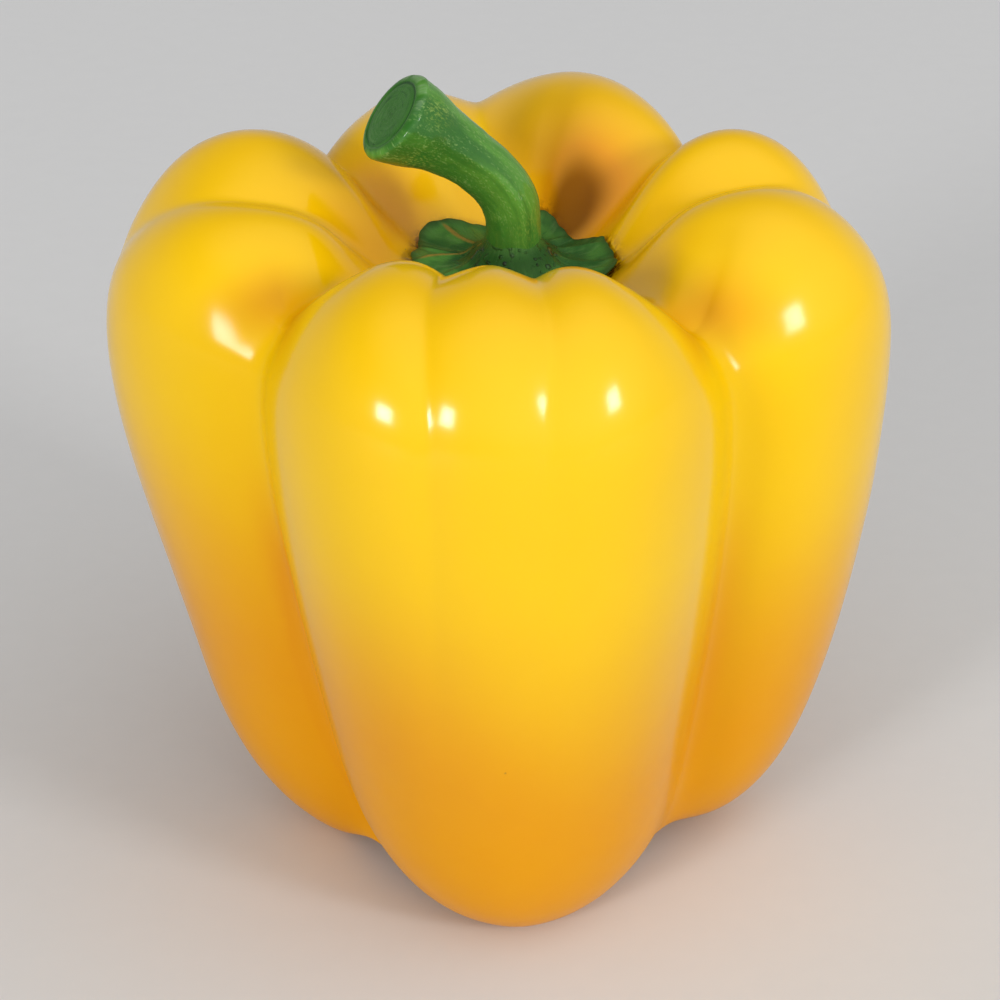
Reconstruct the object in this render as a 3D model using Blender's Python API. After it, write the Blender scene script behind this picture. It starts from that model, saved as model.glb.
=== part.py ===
"""Yellow bell pepper standing on its blossom end, stalk up.

Three solids: the fruit with its lobes, the calyx in the stem well, and the cut stalk on the calyx.
The object is modelled in metres with +Z up. The front is -Y, and the lowest point is at z = 0.
"""

from dataclasses import dataclass

import bmesh
import bpy
import numpy as np

# All sizes below are in millimetres and degrees. Azimuth 0 is the front (-Y), 90 is the right (+X).
MM = 0.001

# The fruit's axis, measured from the middle of its outline seen from above
AXIS_X = 0.28
AXIS_Y = -0.06

# Fruit

# Meridian of a lobe's crown as (radius, height), from the stem well out and down to the blossom end
PROFILE = (
    (0.0, 76.0),
    (7.0, 76.2),
    (12.3, 77.6),
    (15.6, 82.0),
    (20.3, 88.2),
    (28.0, 91.5),
    (36.5, 89.8),
    (43.0, 83.4),
    (46.4, 73.5),
    (46.0, 58.0),
    (43.8, 42.0),
    (40.2, 25.0),
    (35.8, 11.5),
    (29.8, 2.6),
    (22.5, -0.9),
    (15.0, 2.2),
    (7.5, 6.3),
    (0.0, 7.3),
)
LAST_STATION = len(PROFILE) - 1

# Stations along the profile at which the tables below are given
AZIMUTH_STATIONS = (2, 5, 8, 11, 15)
REACH_STATIONS = (4, 6, 8.5)
DEPTH_STATIONS = (0, 2, 3.5, 5, 7, 8.5, 10.5, 12.5, 14.5, 17)
SOFTNESS_STATIONS = (5, 8)

# Weights with which a lobe's own shifts act along the profile, as (stations, weights)
CREST_LIFT = ((2, 3.5, 5, 8.5, 10.5), (0, 0.7, 1, 0.3, 0))
CREST_SHIFT = ((2.5, 5, 8.5), (0, 1, 0))
WIDEST_SHIFT = ((5, 8.2, 11), (0, 1, 0))
WAIST_SHIFT = ((8.2, 11, 13), (0, 1, 0))
HEEL_SHIFT = ((11, 13, 15.5), (0, 1, 0))


@dataclass(frozen=True)
class Lobe:
    """Where a lobe stands and how far it differs from the profile, upward or outward."""

    azimuth: float
    crest_up: float = 0.0
    crest_out: float = 0.0
    widest_out: float = 0.0
    waist_out: float = 0.0
    heel_out: float = 0.0


LOBES = (
    Lobe(-33, crest_up=-0.5),
    Lobe(-3, crest_up=-0.9, widest_out=-0.5, heel_out=0.5),
    Lobe(29, crest_up=-0.5, heel_out=0.2),
    Lobe(77, crest_up=-0.6, crest_out=0.4, widest_out=1.4, waist_out=2.3, heel_out=2.7),
    Lobe(115, crest_up=0.9, crest_out=1.4, widest_out=1.4, waist_out=1.0, heel_out=1.0),
    Lobe(152, crest_up=-0.3),
    Lobe(204, crest_up=-2.4),
    Lobe(248, crest_up=-0.2, crest_out=2.0, widest_out=2.8, waist_out=-1.4, heel_out=-3.1),
    Lobe(286, crest_up=-0.9, widest_out=0.8, waist_out=-2.2, heel_out=-3.2),
)


@dataclass(frozen=True)
class Groove:
    """A valley pressed into the profile: its line, its width to each side, its depth, its softness."""

    azimuth: tuple
    reach_down: tuple
    reach_up: tuple
    depth: tuple
    softness: tuple


GROOVES = (
    # The four deep grooves, front left, front right, back right and back left
    Groove((-51, -56.5, -55.5, -50, -43), (32, 33, 36), (32, 42, 48),
           (0, 1.5, 6.5, 11.5, 13.2, 12.9, 11.9, 10.6, 5, 0), (1.2, 2.8)),
    Groove((47, 49.5, 51.5, 53, 60), (32, 41, 48), (42, 40, 38),
           (0, 1.5, 7, 12.3, 13, 12.4, 11.4, 9, 4.5, 0), (1.2, 3.4)),
    Groove((130, 130, 134, 135, 135), (24, 30, 38), (26, 34, 45),
           (0, 1, 5, 7.5, 12, 13, 12.5, 10, 5, 0), (0.6, 1.6)),
    Groove((229, 227, 226, 227, 227), (26, 34, 45), (24, 30, 38),
           (0, 1, 5, 7.5, 12, 13, 12.5, 10, 5, 0), (0.6, 1.6)),
    # The short creases over the shoulders, two in front, then right, back and left
    Groove((-16, -15, -10, -9.5, -9.5), (16, 18, 18), (14, 18, 20),
           (0, 0.5, 1.5, 2, 1.7, 1.1, 0.3, 0, 0, 0), (0.4, 0.3)),
    Groove((10, 9.5, 7, 6, 6), (14, 18, 18), (16, 16, 16),
           (0, 0.5, 1.5, 2.1, 1.8, 1, 0.2, 0, 0, 0), (0.4, 0.3)),
    Groove((94, 96, 102, 105, 105), (20, 22, 22), (20, 22, 22),
           (0, 0.7, 3, 4.8, 4, 2, 0.8, 0.3, 0, 0), (0.5, 1.2)),
    Groove((185, 185, 185, 185, 185), (17, 20, 20), (20, 22, 22),
           (0, 0.7, 2.5, 3.4, 3.3, 2, 1, 0.5, 0, 0), (0.6, 1.2)),
    Groove((272, 272, 262, 256, 256), (20, 22, 22), (20, 22, 22),
           (0, 0.7, 2.5, 3.6, 2, 0.6, 0.2, 0, 0, 0), (0.5, 1.2)),
)

FRUIT_COLUMNS = 96
FRUIT_ROWS = 40
# A row follows each such length of profile, or each such turn of it, together
ROW_LENGTH = 5.0
ROW_TURN = 20.0

# Calyx

CALYX_X = 1.7
CALYX_Y = 2.2
# Height of the calyx over the skin, and of the flat spot on which the stalk stands
CALYX_GAP = 0.5
BOSS_HEIGHT = 79.2
BOSS_RADIUS = 4.4
COLLAR_REACH = 0.45
LEAF_THICKNESS = 1.5
RIM_THICKNESS = 0.8
# Points and notches of the rim as (azimuth, radius, lift over the skin)
RIM = (
    (-6, 10.6, 0.0),
    (22, 12.2, 0.2),
    (52, 11.0, 0.0),
    (78, 12.6, 0.2),
    (98, 11.5, 0.0),
    (117, 11.0, 0.3),
    (134, 9.7, 0.1),
    (160, 11.1, 0.0),
    (198, 10.6, 0.0),
    (237, 13.5, 0.5),
    (254, 12.3, 0.4),
    (276, 12.4, 0.7),
    (304, 10.6, 0.2),
    (330, 12.2, 0.3),
)
CALYX_COLUMNS = 66
TOP_RINGS = (0.0, 0.1, 0.22, 0.36, 0.52, 0.7, 0.87, 1.0)
UNDER_RINGS = (0.96, 0.78, 0.58, 0.36, 0.16)

# Stalk

# Centre line, from 0.3 mm over the calyx's flat spot up and over to the cut end, and the radius
# at each of its points
STALK_LINE = (
    (1.6, 2.5, 79.5),
    (1.6, 2.5, 82.4),
    (1.1, 2.35, 85.5),
    (-0.5, 1.9, 88.45),
    (-3.1, 1.1, 91.35),
    (-6.7, 0.1, 94.35),
    (-10.1, -0.9, 96.8),
    (-12.1, -1.5, 98.0),
)
STALK_RADIUS = (3.4, 3.3, 3.45, 3.45, 3.5, 4.05, 5.2, 5.6)
STALK_SIDES = 24
STALK_RINGS_PER_SPAN = 3
# How far the cut is out of square, leaning out at the underside, and the spans over which it sets in
CUT_LEAN = 0.22
CUT_LEAN_SPANS = 1.0
# Rings of the cut end as (part of the end radius, step along the centre line)
CUT_END = ((0.96, 0.45), (0.86, 0.65), (0.72, 0.45), (0.4, 0.1))

# Colours in linear RGB, with roughness
SKIN_COLOUR = (0.86, 0.55, 0.0, 1.0)
CALYX_COLOUR = (0.035, 0.17, 0.04, 1.0)
STALK_COLOUR = (0.06, 0.24, 0.045, 1.0)
SKIN_ROUGHNESS = 0.22
GREEN_ROUGHNESS = 0.4


def remove_everything():
    for item in list(bpy.data.objects):
        bpy.data.objects.remove(item, do_unlink=True)


def smooth_line(points, position):
    """Natural cubic spline through points at 0, 1, 2 and so on, read at the positions."""
    knots = np.asarray(points, float)
    count = len(knots)
    left = np.eye(count)
    right = np.zeros_like(knots)
    for i in range(1, count - 1):
        left[i, i - 1:i + 2] = (1, 4, 1)
        right[i] = 6 * (knots[i - 1] - 2 * knots[i] + knots[i + 1])
    bend = np.linalg.solve(left, right)
    index = np.clip(np.floor(position).astype(int), 0, count - 2)
    after = (position - index)[:, None]
    before = 1 - after
    straight = knots[index] * before + knots[index + 1] * after
    return straight + (bend[index] * (before**3 - before) + bend[index + 1] * (after**3 - after)) / 6


def eased(stations, values, position):
    """Cubic interpolation that never overshoots the values."""
    stations = np.asarray(stations, float)
    values = np.asarray(values, float)
    slope = np.diff(values) / np.diff(stations)
    same_way = slope[:-1] * slope[1:] > 0
    total = np.where(same_way, slope[:-1] + slope[1:], 1)
    tangent = np.zeros_like(values)
    tangent[1:-1] = np.where(same_way, 2 * slope[:-1] * slope[1:] / total, 0)
    index = np.clip(np.searchsorted(stations, position, side="right") - 1, 0, len(stations) - 2)
    span = stations[index + 1] - stations[index]
    t = np.clip((position - stations[index]) / span, 0, 1)
    return (
        (2 * t**3 - 3 * t**2 + 1) * values[index]
        + (t**3 - 2 * t**2 + t) * span * tangent[index]
        + (3 * t**2 - 2 * t**3) * values[index + 1]
        + (t**3 - t**2) * span * tangent[index + 1]
    )


def around(azimuths, values, azimuth):
    """The same interpolation, closed round the full turn."""
    turned = (azimuth - azimuths[0]) % 360 + azimuths[0]
    stations = [a + turn for turn in (-360, 0, 360) for a in azimuths]
    return eased(stations, list(values) * 3, turned)


def lobe_shift(name, azimuth):
    return around([lobe.azimuth for lobe in LOBES], [getattr(lobe, name) for lobe in LOBES], azimuth)


def groove_depth(groove, azimuth, station, radius):
    """How far the groove lies below the profile, square to it."""
    line = eased(AZIMUTH_STATIONS, groove.azimuth, station)
    aside = (azimuth - line + 180) % 360 - 180
    soft = np.degrees(eased(SOFTNESS_STATIONS, groove.softness, station) / np.maximum(radius - 6, 6))
    distance = np.sqrt(aside**2 + soft**2) - soft
    reach_down = eased(REACH_STATIONS, groove.reach_down, station)
    reach_up = eased(REACH_STATIONS, groove.reach_up, station)
    reach = np.where(aside < 0, reach_down, reach_up)
    fade = np.clip(1 - distance / reach, 0, None) ** 2
    return eased(DEPTH_STATIONS, groove.depth, station) * fade


def fruit_surface(azimuth, station):
    """Radius and height of the skin, for arrays of azimuths and stations of the same shape."""
    shape = np.shape(azimuth)
    azimuth = np.ravel(azimuth).astype(float)
    station = np.ravel(station).astype(float)
    middle = smooth_line(PROFILE, station)
    step = 0.001
    ahead = smooth_line(PROFILE, np.clip(station + step, 0, LAST_STATION))
    behind = smooth_line(PROFILE, np.clip(station - step, 0, LAST_STATION))
    along = ahead - behind
    along /= np.linalg.norm(along, axis=1)[:, None]
    radius = middle[:, 0].copy()
    height = middle[:, 1].copy()
    height += lobe_shift("crest_up", azimuth) * eased(*CREST_LIFT, station)
    radius += lobe_shift("crest_out", azimuth) * eased(*CREST_SHIFT, station)
    radius += lobe_shift("widest_out", azimuth) * eased(*WIDEST_SHIFT, station)
    radius += lobe_shift("waist_out", azimuth) * eased(*WAIST_SHIFT, station)
    radius += lobe_shift("heel_out", azimuth) * eased(*HEEL_SHIFT, station)
    sunk = sum(groove_depth(groove, azimuth, station, middle[:, 0]) for groove in GROOVES)
    radius += sunk * along[:, 1]
    height -= sunk * along[:, 0]
    # The feet of the lobes are pressed flat where they rest
    height = np.maximum(height, 0)
    return radius.reshape(shape), height.reshape(shape)


def place(radius, azimuth, height):
    """Points of a piece turned about the fruit's axis, in metres."""
    angle = np.radians(azimuth)
    x = AXIS_X + radius * np.sin(angle)
    y = AXIS_Y - radius * np.cos(angle)
    return np.stack([x, y, height], axis=-1) * MM


def profile_rows(count):
    """Stations of the rows, closer together where the profile turns."""
    fine = np.linspace(0, LAST_STATION, 3000)
    step = np.diff(smooth_line(PROFILE, fine), axis=0)
    length = np.linalg.norm(step, axis=1)
    heading = np.unwrap(np.arctan2(step[:, 1], step[:, 0]))
    turn = np.degrees(np.abs(np.gradient(heading)))
    weight = np.concatenate([[0], np.cumsum(length / ROW_LENGTH + turn / ROW_TURN)])
    return np.interp(np.linspace(0, weight[-1], count + 1), weight, fine)


def closed_mesh(name, first, rings, last):
    """Closed skin through rings of points, ending in a point at each end."""
    mesh = bmesh.new()
    top = mesh.verts.new(first)
    loops = [[mesh.verts.new(point) for point in ring] for ring in rings]
    bottom = mesh.verts.new(last)
    count = len(loops[0])
    for i in range(count):
        j = (i + 1) % count
        mesh.faces.new((top, loops[0][i], loops[0][j]))
        for upper, lower in zip(loops, loops[1:]):
            mesh.faces.new((upper[i], lower[i], lower[j], upper[j]))
        mesh.faces.new((bottom, loops[-1][j], loops[-1][i]))
    bmesh.ops.recalc_face_normals(mesh, faces=mesh.faces)
    data = bpy.data.meshes.new(name)
    mesh.to_mesh(data)
    mesh.free()
    data.shade_smooth()
    item = bpy.data.objects.new(name, data)
    bpy.context.scene.collection.objects.link(item)
    return item


def give_material(item, name, colour, roughness):
    material = bpy.data.materials.new(name)
    material.use_nodes = True
    shader = material.node_tree.nodes["Principled BSDF"]
    shader.inputs["Base Color"].default_value = colour
    shader.inputs["Roughness"].default_value = roughness
    shader.inputs["Metallic"].default_value = 0.0
    material.diffuse_color = colour
    item.data.materials.append(material)


def make_fruit():
    azimuth = np.arange(FRUIT_COLUMNS) * 360 / FRUIT_COLUMNS
    stations = profile_rows(FRUIT_ROWS)[1:-1]
    columns, rows = np.meshgrid(azimuth, stations)
    radius, height = fruit_surface(columns, rows)
    top = place(0.0, 0.0, PROFILE[0][1])
    bottom = place(0.0, 0.0, PROFILE[-1][1])
    fruit = closed_mesh("fruit", top, place(radius, columns, height), bottom)
    give_material(fruit, "pepper_skin", SKIN_COLOUR, SKIN_ROUGHNESS)


def well_floor(x, y):
    """Height of the skin in the stem well under a point, both measured from the fruit's axis."""
    azimuth = np.degrees(np.arctan2(x, -y))
    distance = np.hypot(x, y)
    stations = np.linspace(0, 5, 80)
    floor = np.empty_like(distance)
    for index in np.ndindex(distance.shape):
        radius, height = fruit_surface(np.full(stations.shape, azimuth[index]), stations)
        floor[index] = np.interp(distance[index], radius, height)
    return floor


def calyx_ring(part, azimuth, upper):
    """One ring of the calyx, part of the way from its middle to its rim."""
    points, radii, lifts = zip(*RIM)
    edge = around(points, radii, azimuth)
    lift = around(points, lifts, azimuth) * part**2
    radius = BOSS_RADIUS + (edge - BOSS_RADIUS) * part if upper else edge * part
    x = CALYX_X + radius * np.sin(np.radians(azimuth))
    y = CALYX_Y - radius * np.cos(np.radians(azimuth))
    height = well_floor(x, y) + CALYX_GAP + lift
    if upper:
        leaf = height + LEAF_THICKNESS + (RIM_THICKNESS - LEAF_THICKNESS) * part**2
        rise = np.clip(1 - part / COLLAR_REACH, 0, 1)
        rise = rise**2 * (3 - 2 * rise)
        height = leaf + (BOSS_HEIGHT - leaf) * rise
    return np.stack([x + AXIS_X, y + AXIS_Y, height], axis=-1) * MM


def make_calyx():
    azimuth = np.arange(CALYX_COLUMNS) * 360 / CALYX_COLUMNS
    rings = [calyx_ring(part, azimuth, True) for part in TOP_RINGS]
    rings += [calyx_ring(part, azimuth, False) for part in UNDER_RINGS]
    middle = np.array([CALYX_X, CALYX_Y, BOSS_HEIGHT]) + (AXIS_X, AXIS_Y, 0)
    under = well_floor(np.array([CALYX_X]), np.array([CALYX_Y]))[0] + CALYX_GAP
    low = np.array([CALYX_X + AXIS_X, CALYX_Y + AXIS_Y, under])
    calyx = closed_mesh("calyx", middle * MM, rings, low * MM)
    give_material(calyx, "calyx_green", CALYX_COLOUR, GREEN_ROUGHNESS)


def stalk_rings():
    """Rings square to the centre line; the first lies flat on the calyx."""
    spans = len(STALK_LINE) - 1
    position = np.linspace(0, spans, spans * STALK_RINGS_PER_SPAN + 1)
    line = smooth_line(STALK_LINE, position)
    radius = eased(range(spans + 1), STALK_RADIUS, position)
    heading = np.gradient(line, axis=0)
    heading /= np.linalg.norm(heading, axis=1)[:, None]
    angle = np.radians(np.arange(STALK_SIDES) * 360 / STALK_SIDES)[:, None]
    across = np.array([1.0, 0.0, 0.0])
    beside = np.array([0.0, 1.0, 0.0])
    lean = CUT_LEAN * np.clip(1 - (spans - position) / CUT_LEAN_SPANS, 0, 1) ** 2
    rings = []
    for centre, size, forward, slope in zip(line, radius, heading, lean):
        if rings:
            across -= forward * (across @ forward)
            across /= np.linalg.norm(across)
            beside = np.cross(forward, across)
        circle = np.cos(angle) * across + np.sin(angle) * beside
        rings.append(centre + size * (circle - forward * circle[:, 2:] * slope))
    for part, step in CUT_END:
        middle = line[-1] + forward * step
        rings.append(middle + radius[-1] * part * (circle - forward * circle[:, 2:] * slope))
    return line[0], rings, line[-1]


def make_stalk():
    shift = np.array([AXIS_X, AXIS_Y, 0])
    foot, rings, cut = stalk_rings()
    placed = [(ring + shift) * MM for ring in rings]
    stalk = closed_mesh("stalk", (foot + shift) * MM, placed, (cut + shift) * MM)
    give_material(stalk, "stalk_green", STALK_COLOUR, GREEN_ROUGHNESS)


def main():
    remove_everything()
    make_fruit()
    make_calyx()
    make_stalk()


main()
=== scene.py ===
"""Yellow bell pepper with its calyx and stalk, on a pale studio floor."""

from dataclasses import dataclass
from math import cos, pi, radians, sin

import bpy
import numpy as np
from bpy.props import FloatProperty, FloatVectorProperty, IntProperty, PointerProperty
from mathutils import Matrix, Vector


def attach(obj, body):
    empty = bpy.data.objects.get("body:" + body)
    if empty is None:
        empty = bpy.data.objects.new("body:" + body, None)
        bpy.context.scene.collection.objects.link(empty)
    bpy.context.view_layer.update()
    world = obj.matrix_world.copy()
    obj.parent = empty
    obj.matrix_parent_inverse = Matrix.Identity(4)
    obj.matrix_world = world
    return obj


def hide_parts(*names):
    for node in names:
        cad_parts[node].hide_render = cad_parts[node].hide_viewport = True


bl_info = {
    "name": "Bell pepper",
    "version": (1, 0, 0),
    "blender": (4, 5, 0),
    "location": "View3D > Sidebar > Pepper",
    "description": "Builds a bell pepper's skin, calyx, stalk and small marks, and a studio stage",
    "category": "Add Mesh",
}

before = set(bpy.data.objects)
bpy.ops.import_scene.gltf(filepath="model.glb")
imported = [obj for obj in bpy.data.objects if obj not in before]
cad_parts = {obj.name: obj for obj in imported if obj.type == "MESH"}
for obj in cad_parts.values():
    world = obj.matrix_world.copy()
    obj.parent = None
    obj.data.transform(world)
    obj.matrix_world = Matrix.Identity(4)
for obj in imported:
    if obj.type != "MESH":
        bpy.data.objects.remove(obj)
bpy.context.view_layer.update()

# Shape, in millimetres and degrees. Azimuth 0 is the front (-Y), 90 is the right (+X).
MM = 0.001

# The fruit's axis, measured from the middle of its outline seen from above
AXIS = np.array([0.28, -0.06, 0.0])

# Meridian of a lobe's crown as (radius, height), from the stem well to the blossom end
PROFILE = (
    (0.0, 76.0), (7.0, 76.2), (12.3, 77.6), (15.6, 82.0), (20.3, 88.2), (28.0, 91.5),
    (36.5, 89.8), (43.0, 83.4), (46.4, 73.5), (46.0, 58.0), (43.8, 42.0), (40.2, 25.0),
    (35.8, 11.5), (29.8, 2.6), (22.5, -0.9), (15.0, 2.2), (7.5, 6.3), (0.0, 7.3),
)
LAST_STATION = len(PROFILE) - 1

# Station of the crest, and how often the search for a place in the well halves the way
CREST_STATION = 5.0
HALVINGS = 24

# Stations along the profile at which the tables below are given
AZIMUTH_STATIONS = (2, 5, 8, 11, 15)
REACH_STATIONS = (4, 6, 8.5)
DEPTH_STATIONS = (0, 2, 3.5, 5, 7, 8.5, 10.5, 12.5, 14.5, 17)
SOFTNESS_STATIONS = (5, 8)

# How far a lobe's own shifts act along the profile, as (stations, weights)
CREST_LIFT = ((2, 3.5, 5, 8.5, 10.5), (0, 0.7, 1, 0.3, 0))
OUTWARD_SHIFTS = (
    ("crest_out", ((2.5, 5, 8.5), (0, 1, 0))),
    ("widest_out", ((5, 8.2, 11), (0, 1, 0))),
    ("waist_out", ((8.2, 11, 13), (0, 1, 0))),
    ("heel_out", ((11, 13, 15.5), (0, 1, 0))),
)


@dataclass(frozen=True)
class Lobe:
    """Where a lobe stands and how far it differs from the profile, upward or outward."""

    azimuth: float
    crest_up: float = 0.0
    crest_out: float = 0.0
    widest_out: float = 0.0
    waist_out: float = 0.0
    heel_out: float = 0.0


LOBES = (
    Lobe(-33, crest_up=-0.5),
    Lobe(-3, crest_up=-0.9, widest_out=-0.5, heel_out=0.5),
    Lobe(29, crest_up=-0.5, heel_out=0.2),
    Lobe(77, crest_up=-0.6, crest_out=0.4, widest_out=1.4, waist_out=2.3, heel_out=2.7),
    Lobe(115, crest_up=0.9, crest_out=1.4, widest_out=1.4, waist_out=1.0, heel_out=1.0),
    Lobe(152, crest_up=-0.3),
    Lobe(204, crest_up=-2.4),
    Lobe(248, crest_up=-0.2, crest_out=2.0, widest_out=2.8, waist_out=-1.4, heel_out=-3.1),
    Lobe(286, crest_up=-0.9, widest_out=0.8, waist_out=-2.2, heel_out=-3.2),
)


@dataclass(frozen=True)
class Groove:
    """A valley in the profile: its line, how wide it is to either side, how deep and how soft."""

    azimuth: tuple
    reach_down: tuple
    reach_up: tuple
    depth: tuple
    softness: tuple


BACK_DEPTH = (0, 1, 5, 7.5, 12, 13, 12.5, 10, 5, 0)
DEEP_GROOVES = (
    Groove((-51, -56.5, -55.5, -50, -43), (32, 33, 36), (32, 42, 48),
           (0, 1.5, 6.5, 11.5, 13.2, 12.9, 11.9, 10.6, 5, 0), (1.8, 2.8)),
    Groove((47, 49.5, 51.5, 53, 60), (32, 41, 48), (42, 40, 38),
           (0, 1.5, 7, 12.3, 13, 12.4, 11.4, 9, 4.5, 0), (1.8, 3.4)),
    Groove((130, 130, 134, 135, 135), (24, 30, 38), (26, 34, 45), BACK_DEPTH, (0.6, 1.6)),
    Groove((229, 227, 226, 227, 227), (26, 34, 45), (24, 30, 38), BACK_DEPTH, (0.6, 1.6)),
)
# How far in from the profile the softness is measured
GROOVE_FLOOR = 6
CREASES = (
    Groove((-16, -15, -10, -9.5, -9.5), (16, 18, 18), (14, 18, 20),
           (0, 0.5, 1.5, 2, 1.7, 1.1, 0.3, 0, 0, 0), (0.4, 0.3)),
    Groove((10, 9.5, 7, 6, 6), (14, 18, 18), (16, 16, 16),
           (0, 0.5, 1.5, 2.1, 1.8, 1, 0.2, 0, 0, 0), (0.4, 0.3)),
    Groove((94, 96, 102, 105, 105), (20, 22, 22), (20, 22, 22),
           (0, 0.7, 3, 4.8, 4, 2, 0.8, 0.3, 0, 0), (0.5, 1.2)),
    Groove((185, 185, 185, 185, 185), (17, 20, 20), (20, 22, 22),
           (0, 0.7, 2.5, 3.4, 3.3, 2, 1, 0.5, 0, 0), (0.6, 1.2)),
    Groove((272, 272, 262, 256, 256), (20, 22, 22), (20, 22, 22),
           (0, 0.7, 2.5, 3.6, 2, 0.6, 0.2, 0, 0, 0), (0.5, 1.2)),
)
# Deeper orange in the stem well, and where it is strongest a painted brown shadow of the stalk, as
# (azimuth, station, spread in azimuth, spread in stations, strength)
WELL_ORANGE_AND_STALK_SHADOW = (
    (154, 3.5, 21, 1.2, 0.5),
    # Painted shadow: this entry lays the stalk's cast shadow in brown on the back wall of the well
    (146, 2.5, 11, 1.2, 1.5),
    (132, 2.9, 10, 1.2, 0.5),
    (262, 2.8, 30, 1.0, 0.4),
    (228, 3.2, 12, 1.5, 0.5),
)
# The rows of the fruit's mesh share out the profile's length and its turning, weighed by these
ROW_LENGTH = 5.0
ROW_TURN = 20.0
SAMPLES = 3000
# A crease counts this much more than a groove of its depth in the colours
CREASE_WEIGHT = 1.2
# The skin is smooth below this height, where it rests
RESTING_HEIGHT = 2.5
# Width of the stain along the calyx
HEM_WIDTH = 0.8
# Where most specks lie, and how far they spread, in stations
SPECK_STATION = 2.5
SPECK_SPREAD = 0.6

# Blossom scar: its radius, and its rings as (part of the radius, height over the blossom end)
SCAR_COLUMNS = 96
SCAR_RADIUS = 2.1
SCAR_TOP = 0.4
SCAR_FOOT = -0.4
SCAR_RINGS = (
    (0.5, 0.35), (1.0, 0.1), (1.04, -0.15), (0.97, -0.4),
    (0.8, -0.62), (0.55, -0.68), (0.3, -0.6), (0.12, -0.45),
)

# Calyx: its middle and its height over the skin
CALYX = np.array([1.7, 2.2])
CALYX_GAP = 0.5
CALYX_COLUMNS = 288
CALYX_TOP_RINGS = 72
CALYX_UNDER_RINGS = 14
# The last part of the way out, where the edge is rounded, and its share of the top rings
EDGE_START = 0.93
EDGE_PART = 0.07
EDGE_RINGS = 8
# Thickness in the middle, and how much thinner the leaf is at its edge
LEAF_THICKNESS = 1.4
LEAF_THINNING = 0.6
# Points and notches of the rim as (azimuth, radius, lift over the skin)
RIM = (
    (-6, 10.6, 0.0), (22, 12.2, 0.2), (52, 11.0, 0.0), (78, 12.6, 0.2), (98, 11.5, 0.0),
    (117, 11.0, 0.3), (134, 9.7, 0.1), (160, 11.1, 0.0), (198, 10.6, 0.0), (237, 13.5, 0.5),
    (254, 12.3, 0.4), (276, 12.4, 0.7), (304, 10.6, 0.2), (330, 12.2, 0.3),
)
# The collar that runs up the stalk, as (radius, height)
COLLAR = (
    (2.4, 81.3), (3.2, 81.0), (3.5, 80.5), (3.85, 80.0), (4.3, 79.6), (5.0, 79.25), (6.0, 78.95),
)
# Where the collar starts to give way to the leaf, and over how much
COLLAR_END = 4.2
COLLAR_FADE = 2.6
# Radius round which the varnish stands in beads and the hollow has painted shade, and how far they
# spread
BEAD_AND_SHADE_RADIUS = 4.6
BEAD_AND_SHADE_SPREAD = 1.6
# Radius at which the leaf's brush lines have their true width
FAN_WIDTH = 8


@dataclass(frozen=True)
class Vein:
    """A rib of the calyx: its azimuth at the collar and at the rim, height, tan tint and width."""

    start: float
    end: float
    height: float
    tan: float
    width: float = 0.55


VEINS = (
    Vein(8, 20, 0.45, 0.2), Vein(34, 50, 0.25, 0.0), Vein(60, 72, 0.4, 0.1),
    Vein(88, 82, 0.3, 0.0), Vein(130, 100, 0.5, 0.15), Vein(150, 132, 0.35, 0.0),
    Vein(168, 164, 0.5, 0.2), Vein(196, 198, 0.3, 0.1), Vein(236, 226, 0.45, 1.0),
    Vein(244, 276, 0.5, 1.0), Vein(250, 254, 0.3, 0.0, 0.4), Vein(282, 298, 0.3, 0.1),
    Vein(326, 332, 0.5, 0.2), Vein(348, 352, 0.3, 0.0),
)

# Stalk: points of the centre line, the radius at each, and how far the cut leans out of square,
# which grows over the last span of the line
STALK_LINE = (
    (1.6, 2.5, 79.5), (1.6, 2.5, 82.4), (1.1, 2.35, 85.5), (-0.5, 1.9, 88.45),
    (-3.1, 1.1, 91.35), (-6.7, 0.1, 94.35), (-10.1, -0.9, 96.8), (-12.1, -1.5, 98.0),
)
STALK_RADIUS = (3.4, 3.3, 3.45, 3.45, 3.5, 4.05, 5.2, 5.6)
CUT_LEAN = 0.22
# How fast the ridges wind round the stalk, in radians to the metre
RIDGE_TWIST = 60
# Rim and face of the cut, as (part of the end radius, step along the line, height over the step)
CUT_END = (
    (0.985, 0.26, 0.0), (0.960, 0.44, 0.0), (0.925, 0.59, 0.0), (0.885, 0.70, 0.0),
    (0.845, 0.77, 0.0), (0.810, 0.80, 0.0), (0.785, 0.81, -0.03), (0.770, 0.82, -0.10),
    (0.755, 0.83, -0.14), (0.735, 0.84, -0.12), (0.705, 0.85, -0.07), (0.660, 0.86, -0.03),
    (0.580, 0.87, -0.02), (0.460, 0.88, -0.03), (0.320, 0.89, -0.06), (0.180, 0.90, -0.09),
    (0.030, 0.91, -0.10),
)

# Yellow-green mottles of the stalk and a nick in the calyx, as (x, y, z, reach) in metres
MOSS_SPOTS = (
    (-0.0095, -0.0055, 0.0925, 0.0045),
    (-0.0069, -0.0040, 0.0995, 0.0030),
    (0.0048, -0.0005, 0.0830, 0.0046),
)
LEAF_NICK = (0.0066, 0.0010, 0.0797, 0.0011)

# View of the photograph: the camera looks along +Y and down
CAMERA_TARGET = (0.0, 0.0, 46.0)
CAMERA_DROP = 29.0
CAMERA_DISTANCE = 412.0
SENSOR_WIDTH = 36.0

# Softboxes as (name, azimuth, height, setting of its power), and their aim in metres
SOFTBOXES = (("key_softbox", -35, 19, "key_power"), ("fill_softbox", 50, 23, "fill_power"))
SOFTBOX_AIM = Vector((0.0, 0.0, 0.05))
SOFTBOX_DISTANCE = 2.4
SOFTBOX_WIDTH = 0.46
# Where the soft patch of light overhead is, in degrees
PATCH_AZIMUTH = 40
PATCH_HEIGHT = 55


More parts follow.
